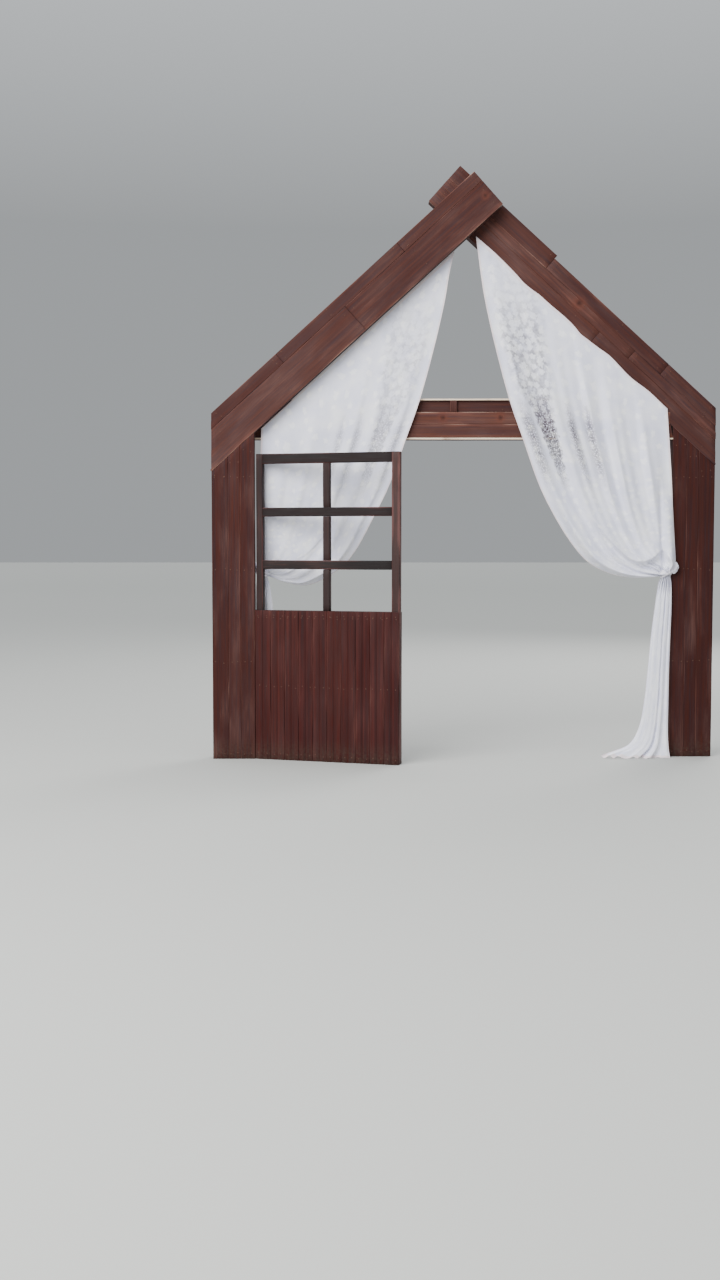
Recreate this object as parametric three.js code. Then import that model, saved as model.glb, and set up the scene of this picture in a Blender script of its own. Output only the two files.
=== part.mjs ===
// A rustic timber wedding arch: two boarded box posts, two boarded rafters that lap at the peak,
// a boarded tie beam, an old window panel on a boarded base that stands in the opening, and two
// tied-back lace drapes. Millimetres, +Z up, front towards -Y. The posts stand on Z = 0.
import * as THREE from "three";

const BOARD = 15; // thickness of every face board
const MEMBER_FACE = 285; // three 95 mm boards side by side
const MEMBER_DEPTH = 110; // face board, 80 mm hollow, face board
const HALF_WIDTH = 1690; // from the middle of the arch to a post's outer face
const PITCH = THREE.MathUtils.degToRad(42.2); // slope of both rafters
const LEFT_CREST = 3845; // height at which the left rafter's upper edge crosses the middle
const RIGHT_CREST = 3890; // the same for the right rafter, which lies a little higher
const PEAK_OVERRUN = 68; // each rafter's upper edge runs on this far past the middle, along its slope
const WIDE_BOARD = 25; // the right rafter's upper face board stands proud by this near the peak
const WIDE_BOARD_REACH = 600; // and it reaches this far out from the middle
const PLATE = 12; // thickness of the tie beam's top and bottom boards
const TIE_BOTTOM = 2147;
const TIE_TOP = 2420;
const TIE_LEFT_END = -1570; // the tie beam laps behind the left post
const TIE_RECESS_DEPTH = 20; // the upper strip of the tie's face lies back by this
const TIE_BOARD_TOPS = [2249, 2330]; // upper edges of the tie's two front boards
const SPACER = [-95, -48]; // the upright batten in the recess, in X
const GAP = 0.3; // between faces that meet on a slope or inside a turned group

const PANEL_TURN = THREE.MathUtils.degToRad(17.5); // the panel's right side comes forward
const PANEL_CORNER = [-1395, -95]; // X and Y of the window frame's front left edge
const PANEL_WIDTH = 998;
const PANEL_DEPTH = 48;
const PANEL_TOP = 2045;
const STILE = 45;
const RIGHT_STILE = 54;
const MULLION = [470, 517]; // along the panel
const PANE_ROWS = [
  [1003, 1278],
  [1338, 1628],
  [1688, 1978],
];
const BASE_TOP = 1003; // the panel's boarded lower part ends here
const BASE_RAIL = 60;

const KNOT_TOP = 1290; // the tie-backs hold the drapes at this height
const KNOT_BOTTOM = 1228;
const KNOT_REACH = [1318, 1404.7]; // from the neck of the drape to the post's inner face
const HEM_ENDS = [72, 1362]; // each drape hangs from the rafter between these distances
// The free edge of a drape, from the peak down to the tie-back: distance from the middle, height.
// The two are alike down to the tie beam. Below it the left one hangs in a lower scallop.
const UPPER_EDGE = [
  [72, 3487],
  [106, 3234],
  [140, 3036],
  [209, 2739],
  [300, 2408],
  [394, 2142],
  [503, 1841],
];
const LEFT_EDGE = [
  ...UPPER_EDGE,
  [618, 1607],
  [700, 1450],
  [755, 1366],
  [815, 1296],
  [890, 1240],
  [970, 1196],
  [1050, 1168],
  [1120, 1168],
  [1205, 1186],
  [1275, 1212],
  [1318, 1228.5],
];
const RIGHT_EDGE = [
  ...UPPER_EDGE,
  [624, 1607],
  [751, 1419],
  [860, 1310],
  [1005, 1241],
  [1149, 1219],
  [1276, 1221],
  [1318, 1228.5],
];
// The tail under a tie-back, from the top: height, inner and outer distance from the middle,
// and how far its middle has moved from the tie-back's, then half its depth.
const TAIL = [
  [1227.7, 1326, 1398, 0, 18],
  [1169, 1309, 1402, 0, 20],
  [1000, 1288, 1403, 0, 20],
  [830, 1268, 1398, 0, 20],
  [600, 1248, 1392, 1, 21],
  [394, 1228, 1390, 3, 23],
  [200, 1190, 1388, 8, 28],
  [80, 1110, 1390, 24, 42],
  [0, 930, 1398, 42, 60],
];

const timber = new THREE.MeshStandardMaterial({ color: 0x5e3c33, roughness: 0.8 });
const windowTimber = new THREE.MeshStandardMaterial({ color: 0x4a332b, roughness: 0.85 });
const lace = new THREE.MeshStandardMaterial({ color: 0xe4e2e2, roughness: 0.9 });

const arch = new THREE.Group();

// A board cut to an outline of [x, z] points, filling the depth from y0 to y1.
function board(name, outline, [y0, y1], material = timber) {
  const shape = new THREE.Shape(outline.map(([x, z]) => new THREE.Vector2(x, z)));
  const geometry = new THREE.ExtrudeGeometry(shape, { depth: y1 - y0, bevelEnabled: false });
  geometry.rotateX(Math.PI / 2);
  const mesh = new THREE.Mesh(geometry, material);
  mesh.name = name;
  mesh.position.y = y1;
  arch.add(mesh);
  return mesh;
}

// A square-cut block between two limits on each axis.
function block(name, [x0, x1], [y0, y1], [z0, z1], material = timber, parent = arch) {
  const mesh = new THREE.Mesh(new THREE.BoxGeometry(x1 - x0, y1 - y0, z1 - z0), material);
  mesh.name = name;
  mesh.position.set((x0 + x1) / 2, (y0 + y1) / 2, (z0 + z1) / 2);
  parent.add(mesh);
  return mesh;
}

// Both legs of the arch are the same frame: a post with its rafter. The left one fills the front
// half of the arch's depth and the right one the back half, so that they lap at the peak.
const LEGS = [
  { side: "left", sign: -1, front: -MEMBER_DEPTH, crest: LEFT_CREST },
  { side: "right", sign: 1, front: 0, crest: RIGHT_CREST },
];
const slope = Math.tan(PITCH);
const lowerEdge = (crest) => crest - MEMBER_FACE / Math.cos(PITCH);

// The point of a leg that lies `along` the slope from the middle and `down` across the rafter.
function onRafter({ sign, crest }, along, down) {
  const x = along * Math.cos(PITCH) - down * Math.sin(PITCH);
  const z = crest - along * Math.sin(PITCH) - down * Math.cos(PITCH);
  return [sign * x, z];
}

// The rafter's outline, made smaller by `inset` all round, with its foot cut plumb over the post.
function rafterOutline(leg, inset) {
  const out = HALF_WIDTH - inset;
  const upper = (x) => leg.crest - slope * x - inset / Math.cos(PITCH);
  const lower = (x) => lowerEdge(leg.crest) - slope * x + inset / Math.cos(PITCH);
  return [
    onRafter(leg, inset - PEAK_OVERRUN, inset),
    [leg.sign * out, upper(out)],
    [leg.sign * out, lower(out)],
    onRafter(leg, inset - PEAK_OVERRUN, MEMBER_FACE - inset),
  ];
}

function buildLeg(leg) {
  const { side, sign, front, crest } = leg;
  const faceFront = [front, front + BOARD];
  const faceBack = [front + MEMBER_DEPTH - BOARD, front + MEMBER_DEPTH];
  const core = [front + BOARD, front + MEMBER_DEPTH - BOARD];
  const inner = HALF_WIDTH - MEMBER_FACE;
  const seat = (x) => lowerEdge(crest) - slope * x - GAP / Math.cos(PITCH);
  const upright = (x0, x1) => [
    [sign * x0, 0],
    [sign * x1, 0],
    [sign * x1, seat(x1)],
    [sign * x0, seat(x0)],
  ];
  board(`${side}_post_front_boards`, upright(inner, HALF_WIDTH), faceFront);
  board(`${side}_post_back_boards`, upright(inner, HALF_WIDTH), faceBack);
  board(`${side}_post_inner_board`, upright(inner, inner + BOARD), core);
  board(`${side}_post_outer_board`, upright(HALF_WIDTH - BOARD, HALF_WIDTH), core);

  const face = rafterOutline(leg, 0);
  if (side === "right") {
    // The upper face board near the peak is wider than the others and stands proud of the edge.
    const step = WIDE_BOARD_REACH / Math.cos(PITCH);
    face.splice(0, 1, onRafter(leg, -PEAK_OVERRUN, -WIDE_BOARD));
    face.splice(1, 0, onRafter(leg, step, -WIDE_BOARD), onRafter(leg, step, 0));
  }
  board(`${side}_rafter_front_boards`, face, faceFront);
  board(`${side}_rafter_back_boards`, rafterOutline(leg, 0), faceBack);

  // The boards that close the rafter's edges and its two ends.
  const outside = rafterOutline(leg, 0);
  const shrunk = rafterOutline(leg, BOARD + GAP);
  const footPeak = HALF_WIDTH - BOARD - GAP;
  const edgeAt = (x, z0) => [sign * x, z0 - slope * x];
  const thick = BOARD / Math.cos(PITCH);
  board(
    `${side}_rafter_top_board`,
    [outside[0], outside[1], edgeAt(HALF_WIDTH, crest - thick), onRafter(leg, -PEAK_OVERRUN, BOARD)],
    core,
  );
  board(
    `${side}_rafter_bottom_board`,
    [
      onRafter(leg, -PEAK_OVERRUN, MEMBER_FACE - BOARD),
      edgeAt(HALF_WIDTH, lowerEdge(crest) + thick),
      outside[2],
      outside[3],
    ],
    core,
  );
  board(
    `${side}_rafter_peak_end`,
    [
      onRafter(leg, -PEAK_OVERRUN, BOARD + GAP),
      shrunk[0],
      shrunk[3],
      onRafter(leg, -PEAK_OVERRUN, MEMBER_FACE - BOARD - GAP),
    ],
    core,
  );
  board(
    `${side}_rafter_foot_end`,
    [
      edgeAt(footPeak, crest - thick - GAP / Math.cos(PITCH)),
      edgeAt(HALF_WIDTH, crest - thick - GAP / Math.cos(PITCH)),
      edgeAt(HALF_WIDTH, lowerEdge(crest) + thick + GAP / Math.cos(PITCH)),
      edgeAt(footPeak, lowerEdge(crest) + thick + GAP / Math.cos(PITCH)),
    ],
    core,
  );
}

// The tie beam lies in the back half. Its left end laps behind the left post, and its right end
// is cut to the underside of the right rafter and stops on the inner face of the right post.
function buildTie() {
  const postFace = HALF_WIDTH - MEMBER_FACE;
  const underside = lowerEdge(RIGHT_CREST) - GAP / Math.cos(PITCH);
  const strip = (z0, z1) => {
    const reach = (z) => Math.min(postFace, (underside - z) / slope);
    const outline = [
      [TIE_LEFT_END, z0],
      [reach(z0), z0],
    ];
    const corner = underside - slope * postFace;
    if (z0 < corner && corner < z1) outline.push([postFace, corner]);
    outline.push([reach(z1), z1], [TIE_LEFT_END, z1]);
    return outline;
  };
  const [lowTop, highTop] = TIE_BOARD_TOPS;
  const clearTop = TIE_TOP - PLATE;
  const back = [MEMBER_DEPTH - BOARD, MEMBER_DEPTH];
  board("tie_beam_top_board", strip(clearTop, TIE_TOP), [0, MEMBER_DEPTH]);
  board("tie_beam_bottom_board", strip(TIE_BOTTOM, TIE_BOTTOM + PLATE), [0, MEMBER_DEPTH]);
  board("tie_beam_back_boards", strip(TIE_BOTTOM + PLATE, clearTop), back);
  board("tie_beam_lower_board", strip(TIE_BOTTOM + PLATE, lowTop), [0, BOARD]);
  board("tie_beam_middle_board", strip(lowTop, highTop), [0, BOARD]);
  board("tie_beam_recessed_board", strip(TIE_BOTTOM + PLATE, clearTop), [
    TIE_RECESS_DEPTH,
    TIE_RECESS_DEPTH + BOARD,
  ]);
  block("tie_beam_spacer", SPACER, [0, TIE_RECESS_DEPTH], [highTop, clearTop]);
}

// The old window panel: a frame of stiles, rails and a mullion with six open panes, over a base
// that is boarded on both sides. It stands turned, with its base fixed to the left post.
function buildPanel() {
  const panel = new THREE.Group();
  panel.position.set(PANEL_CORNER[0], PANEL_CORNER[1], 0);
  panel.rotation.z = -PANEL_TURN;
  arch.add(panel);
  const depth = [0, PANEL_DEPTH];
  const right = PANEL_WIDTH - RIGHT_STILE;
  const part = (name, along, heights) =>
    block(`window_${name}`, along, depth, heights, windowTimber, panel);
  part("left_stile", [0, STILE], [0, PANEL_TOP]);
  part("right_stile", [right, PANEL_WIDTH], [0, PANEL_TOP]);
  const between = [STILE + GAP, right - GAP];
  const [low, middle, high] = PANE_ROWS;
  part("top_rail", between, [high[1], PANEL_TOP]);
  part("upper_rail", between, [middle[1], high[0]]);
  part("lower_rail", between, [low[1], middle[0]]);
  part("sill", between, [BASE_TOP - BASE_RAIL, BASE_TOP]);
  for (const [name, row] of [
    ["low", low],
    ["middle", middle],
    ["high", high],
  ])
    part(`mullion_${name}`, MULLION, [row[0] + GAP, row[1] - GAP]);

  // The base boards run past the left stile and are cut to lie on the post's inner face.
  const postFace = -(HALF_WIDTH - MEMBER_FACE) + GAP;
  const meetPost = (y) =>
    (postFace - PANEL_CORNER[0] - y * Math.sin(PANEL_TURN)) / Math.cos(PANEL_TURN);
  const slab = (name, [y0, y1], end) => {
    const plan = new THREE.Shape([
      new THREE.Vector2(meetPost(y0), y0),
      new THREE.Vector2(end, y0),
      new THREE.Vector2(end, y1),
      new THREE.Vector2(meetPost(y1), y1),
    ]);
    const geometry = new THREE.ExtrudeGeometry(plan, { depth: BASE_TOP, bevelEnabled: false });
    const mesh = new THREE.Mesh(geometry, windowTimber);
    mesh.name = name;
    panel.add(mesh);
  };
  slab("base_front_boards", [-BOARD - GAP, -GAP], PANEL_WIDTH);
  slab("base_back_boards", [PANEL_DEPTH + GAP, PANEL_DEPTH + GAP + BOARD], PANEL_WIDTH);
  slab("base_packing_strip", depth, -GAP);
}

// A closed solid from a grid of front and back points: rows[j][i] = [front, back], each [x, y, z].
function closedSheet(name, rows, material) {
  const nj = rows.length;
  const ni = rows[0].length;
  const at = (side, j, i) => (side * nj + j) * ni + i;
  const positions = [0, 1].flatMap((side) => rows.flatMap((row) => row.flatMap((p) => p[side])));
  const index = [];
  const quad = (a, b, c, d) => index.push(a, b, c, a, c, d);
  for (let j = 0; j + 1 < nj; j++)
    for (let i = 0; i + 1 < ni; i++) {
      quad(at(0, j, i), at(0, j + 1, i), at(0, j + 1, i + 1), at(0, j, i + 1));
      quad(at(1, j, i), at(1, j, i + 1), at(1, j + 1, i + 1), at(1, j + 1, i));
    }
  for (let i = 0; i + 1 < ni; i++) {
    quad(at(0, 0, i), at(0, 0, i + 1), at(1, 0, i + 1), at(1, 0, i));
    quad(at(0, nj - 1, i + 1), at(0, nj - 1, i), at(1, nj - 1, i), at(1, nj - 1, i + 1));
  }
  for (let j = 0; j + 1 < nj; j++) {
    quad(at(0, j + 1, 0), at(0, j, 0), at(1, j, 0), at(1, j + 1, 0));
    quad(at(0, j, ni - 1), at(0, j + 1, ni - 1), at(1, j + 1, ni - 1), at(1, j, ni - 1));
  }
  const geometry = new THREE.BufferGeometry();
  geometry.setAttribute("position", new THREE.Float32BufferAttribute(positions, 3));
  geometry.setIndex(index);
  geometry.computeVertexNormals();
  const mesh = new THREE.Mesh(geometry, material);
  mesh.name = name;
  arch.add(mesh);
  return mesh;
}

const DRAPES = [
  // The left drape hangs from the underside of its rafter and is tied behind the window panel.
  {
    side: "left",
    sign: -1,
    hem: (x) => lowerEdge(LEFT_CREST) - slope * x - 0.4,
    edge: LEFT_EDGE,
    hemY: -20,
    belly: 6,
    knot: [-34, 46],
    reach: 1392,
    spread: 1,
  },
  // The right drape is tacked to the front of its rafter, a little above the lower edge, and it
  // reaches past the edge of its post's front face.
  {
    side: "right",
    sign: 1,
    hem: (x) => 3551 - 0.8845 * x,
    edge: RIGHT_EDGE,
    hemY: -4.3,
    belly: 16,
    knot: [-62, 18],
    reach: 1428,
    spread: -1,
  },
];
const COLUMNS = 24;
const ROWS = 26;

function buildDrape({ side, sign, hem, edge, hemY, belly, knot, reach, spread }) {
  const knotY = (knot[0] + knot[1]) / 2;
  const top = HEM_ENDS.map((x) => [x, hem(x)]);
  const free = edge.map(([x, z]) => new THREE.Vector2(x, z));
  free[0].set(...top[0]);
  const freeEdge = new THREE.SplineCurve(free);
  const fixedEdge = new THREE.LineCurve(
    new THREE.Vector2(...top[1]),
    new THREE.Vector2(reach, KNOT_TOP + 0.5),
  );
  const rows = [];
  for (let j = 0; j <= ROWS; j++) {
    const v = j / ROWS;
    const a = freeEdge.getPointAt(v);
    const b = fixedEdge.getPointAt(v);
    const settle = THREE.MathUtils.smoothstep(v, 0.5, 1);
    const sag = Math.sin(Math.PI * Math.min(1, v / 0.55) * 0.5) * (1 - settle);
    const y = THREE.MathUtils.lerp(hemY, knotY, settle) - belly * sag;
    const half = 4 + 3 * sag + 14 * settle;
    const row = [];
    for (let i = 0; i <= COLUMNS; i++) {
      const u = i / COLUMNS;
      const x = THREE.MathUtils.lerp(a.x, b.x, u);
      const z = THREE.MathUtils.lerp(a.y, b.y, u);
      row.push([
        [sign * x, y - half, z],
        [sign * x, y + half, z],
      ]);
    }
    rows.push(sign > 0 ? row : row.reverse());
  }
  closedSheet(`${side}_drape_swag`, rows, lace);

  // The gathered end of the swag lies along the tie-back's sloping upper face.
  const [neck, post] = KNOT_REACH;
  const shoulder = (x) => THREE.MathUtils.mapLinear(x, neck, reach, KNOT_BOTTOM, KNOT_TOP);
  const outline = [
    [neck, KNOT_BOTTOM],
    [post, KNOT_BOTTOM],
    [post, shoulder(Math.min(post, reach))],
  ];
  if (reach < post) outline.push([reach, KNOT_TOP]);
  board(
    `${side}_drape_tieback`,
    outline.map(([x, z]) => [sign * x, z]),
    knot,
    lace,
  );

  // The tail is a stack of flat ovals, joined into one closed solid.
  const sides = 28;
  const positions = [];
  for (const [z, inner, outer, shift, half] of TAIL)
    for (let k = 0; k < sides; k++) {
      const t = (k / sides) * 2 * Math.PI;
      const x = (inner + outer) / 2 + ((outer - inner) / 2) * Math.cos(t);
      positions.push(sign * x, knotY + spread * shift + half * Math.sin(t), z);
    }
  const bottom = (TAIL.length - 1) * sides;
  const index = [];
  const face = (a, b, c) => (sign > 0 ? index.push(a, b, c) : index.push(a, c, b));
  for (let r = 0; r + 1 < TAIL.length; r++)
    for (let k = 0; k < sides; k++) {
      const a = r * sides + k;
      const b = r * sides + ((k + 1) % sides);
      face(a, a + sides, b + sides);
      face(a, b + sides, b);
    }
  for (let k = 1; k + 1 < sides; k++) {
    face(0, k, k + 1);
    face(bottom, bottom + k + 1, bottom + k);
  }
  const geometry = new THREE.BufferGeometry();
  geometry.setAttribute("position", new THREE.Float32BufferAttribute(positions, 3));
  geometry.setIndex(index);
  geometry.computeVertexNormals();
  const tail = new THREE.Mesh(geometry, lace);
  tail.name = `${side}_drape_tail`;
  arch.add(tail);
}

LEGS.forEach(buildLeg);
buildTie();
buildPanel();
DRAPES.forEach(buildDrape);

// The origin is on the ground under the middle of the whole, so the depth is centred last.
arch.updateMatrixWorld(true);
const extent = new THREE.Box3().setFromObject(arch, true);
arch.position.y = -(extent.min.y + extent.max.y) / 2;

export default arch;
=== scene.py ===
"""Looks for a rustic wooden wedding arch: weathered planks over a boarded box frame, an old window
panel on a grooved base, and two tied-back lace drapes.

Metres, +Z up; the arch faces -Y and stands on Z = 0. Every plank is a rounded profile carried along
its length, and each drape is one pleated sheet from its hem on the rafter to its hem on the ground.
"""

import math
from functools import partial

import bpy
import numpy as np
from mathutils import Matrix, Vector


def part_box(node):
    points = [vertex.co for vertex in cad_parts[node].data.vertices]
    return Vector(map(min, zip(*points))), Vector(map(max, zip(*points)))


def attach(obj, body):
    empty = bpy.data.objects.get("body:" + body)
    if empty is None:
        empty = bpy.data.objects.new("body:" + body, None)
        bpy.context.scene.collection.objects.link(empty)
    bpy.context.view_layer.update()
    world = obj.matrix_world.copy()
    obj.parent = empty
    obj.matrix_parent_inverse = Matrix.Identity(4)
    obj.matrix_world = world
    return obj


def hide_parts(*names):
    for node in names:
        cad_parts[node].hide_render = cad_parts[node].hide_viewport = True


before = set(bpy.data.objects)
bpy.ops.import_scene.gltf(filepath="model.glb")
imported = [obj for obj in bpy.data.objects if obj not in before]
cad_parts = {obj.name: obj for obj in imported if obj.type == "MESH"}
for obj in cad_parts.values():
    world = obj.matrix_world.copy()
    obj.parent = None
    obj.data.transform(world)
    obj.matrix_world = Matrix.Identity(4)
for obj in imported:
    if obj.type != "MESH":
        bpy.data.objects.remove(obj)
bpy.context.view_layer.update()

# Sizes, as in the part's source

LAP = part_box("right_post_front_boards")[0].y  # the plane where the two legs of the arch lap
BOARD = 0.015
FACE = 0.285  # width of a post's or rafter's face
DEPTH = 0.110
HALF_WIDTH = 1.690
INNER = HALF_WIDTH - FACE
PITCH = math.radians(42.2)
COS, SIN, SLOPE = math.cos(PITCH), math.sin(PITCH), math.tan(PITCH)
CREST = {"left": 3.845, "right": 3.890}
SIGN = {"left": -1, "right": 1}
FRONT = {"left": LAP - DEPTH, "right": LAP}  # the front face of each leg
OVERRUN = 0.068  # how far each rafter runs on past the peak
WIDE_BOARD = 0.025  # how far the right rafter's top row stands up near the peak,
WIDE_BOARD_END = 0.600 / COS  # and how far down the slope it does so
TIE_BOTTOM, TIE_TOP, PLATE = 2.147, 2.420, 0.012
TIE_SEAMS = (2.249, 2.330)
TIE_LEFT = -1.570
PANEL_TURN = math.radians(17.5)
PANEL_CORNER = np.array([-1.395, LAP - 0.095, 0.0])
PANEL_WIDTH, PANEL_DEPTH, PANEL_TOP, BASE_TOP = 0.998, 0.048, 2.045, 1.003
STILE, RIGHT_STILE, MULLION = 0.045, 0.054, (0.470, 0.517)
PANES = ((1.003, 1.278), (1.338, 1.628), (1.688, 1.978))

# Play between the pieces, finer than in the source

FIT = 0.0004  # between an end and what it meets
SLACK = 0.0005  # what a plank lacks of its board's size, and the gap behind an end board
BUTT = 0.0008  # half the gap where two boards meet end to end
CORE = DEPTH - 2 * BOARD - 0.002  # width of the boards between a leg's front and back ones
# The seams between boards side by side.
POST_SEAM, RAFTER_SEAM, TIE_SEAM, BASE_SEAM = 0.0010, 0.0009, 0.0015, 0.0003

X, Y, Z = np.eye(3)

# Camera, light and floor


def look_from_photograph():
    """The camera stands 10.15 m before the lap plane at eye height, tipped 3.8 degrees down."""
    sensor, focal_pixels, long_side_pixels = 36.0, 1500, 1280
    data = bpy.data.cameras.new("photograph")
    data.sensor_width = sensor
    data.lens = focal_pixels * sensor / long_side_pixels
    camera = bpy.data.objects.new("photograph", data)
    bpy.context.scene.collection.objects.link(camera)
    camera.location = (-0.70, LAP - 10.15, 1.47)
    camera.rotation_euler = (math.radians(90 - 3.8), 0, 0)
    bpy.context.scene.camera = camera


look_from_photograph()


def linear(hex_colour):
    """An sRGB hex colour as linear red, green, blue and alpha."""
    srgb = np.array([int(hex_colour[i : i + 2], 16) / 255 for i in (1, 3, 5)])
    rgb = np.where(srgb <= 0.04045, srgb / 12.92, ((srgb + 0.055) / 1.055) ** 2.4)
    return (*rgb.tolist(), 1.0)


def add_node(tree, kind, *values, stops=None, **settings):
    """Adds a shader node. kind may name its operation too, and settings are its properties. values
    fill the sockets that it then shows, in order, or are one dict of sockets' names and values. A
    value is a number, a vector, a hex colour, an output, or a node, whose first shown output is
    meant. stops fills a colour ramp."""
    kind, _, operation = kind.partition(" ")
    node = tree.nodes.new("ShaderNode" + kind)
    if operation:
        node.operation = operation
    for name, setting in settings.items():
        setattr(node, name, setting)
    if values and isinstance(values[0], dict):
        pairs = [(node.inputs[name], value) for name, value in values[0].items()]
    else:
        pairs = list(zip([socket for socket in node.inputs if socket.enabled], values))
    for socket, value in pairs:
        if isinstance(value, bpy.types.Node):
            value = next(output for output in value.outputs if output.enabled)
        if isinstance(value, bpy.types.NodeSocket):
            tree.links.new(value, socket)
        else:
            socket.default_value = linear(value) if isinstance(value, str) else value
    if stops:
        elements = node.color_ramp.elements
        while len(elements) < len(stops):
            elements.new(0.5)
        for element, (place, colour) in zip(elements, stops):
            element.position = place
            element.color = linear(colour)
    return node


def new_material(name):
    """An empty node material, and add_node for its own tree."""
    material = bpy.data.materials.new(name)
    material.use_nodes = True
    material.node_tree.nodes.clear()
    return material, partial(add_node, material.node_tree)


def set_up_studio():
    """A pale matt floor under an overcast sky that is nearly five times as bright overhead as at
    the horizon, a wide soft light from above the front left and a weaker one from behind."""
    material, add = new_material("pale_matt_floor")
    mottle = add("TexNoise", {"Scale": 1.5, "Detail": 3.0})
    tint = add("ValToRGB", mottle, stops=[(0.3, "#a6a6a2"), (0.7, "#adada9")])
    add("OutputMaterial", add("BsdfPrincipled", {"Base Color": tint, "Roughness": 0.9}))
    mesh = bpy.data.meshes.new("floor")
    mesh.from_pydata([(-60, -30, 0), (60, -30, 0), (60, 90, 0), (-60, 90, 0)], [], [(0, 1, 2, 3)])
    mesh.materials.append(material)
    floor = bpy.data.objects.new("floor", mesh)
    bpy.context.scene.collection.objects.link(floor)

    world = bpy.data.worlds.new("overcast")
    world.use_nodes = True
    sky = world.node_tree
    upward = add_node(sky, "TexCoord").outputs["Generated"]
    upward = add_node(sky, "SeparateXYZ", upward).outputs["Z"]
    strength = add_node(sky, "MapRange", upward, 0.2, 1.0, 0.62, 3.0)
    background = sky.nodes["Background"]
    background.inputs["Color"].default_value = linear("#cdd1d4")
    sky.links.new(strength.outputs[0], background.inputs["Strength"])
    bpy.context.scene.world = world
    for name, place, size, power in (
        ("key", (-6.0, -8.0, 7.0), 9.0, 2300),
        ("rear", (5.0, 9.0, 7.0), 6.0, 800),
    ):
        data = bpy.data.lights.new(name, "AREA")
        data.shape, data.size, data.energy = "DISK", size, power
        light = bpy.data.objects.new(name, data)
        light.location = place
        direction = Vector((0, 0, 1.6)) - Vector(place)
        light.rotation_euler = direction.to_track_quat("-Z", "Y").to_euler()
        bpy.context.scene.collection.objects.link(light)


set_up_studio()

# Materials

# Knots that show on the faces: centre and radius in metres.
KNOTS = [
    ((0.765, LAP, 3.052), 0.024),
    ((-0.144, LAP, 2.293), 0.019),
    ((0.243, LAP, 2.293), 0.018),
    ((0.125, LAP - DEPTH, 3.735), 0.016),
]


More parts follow.
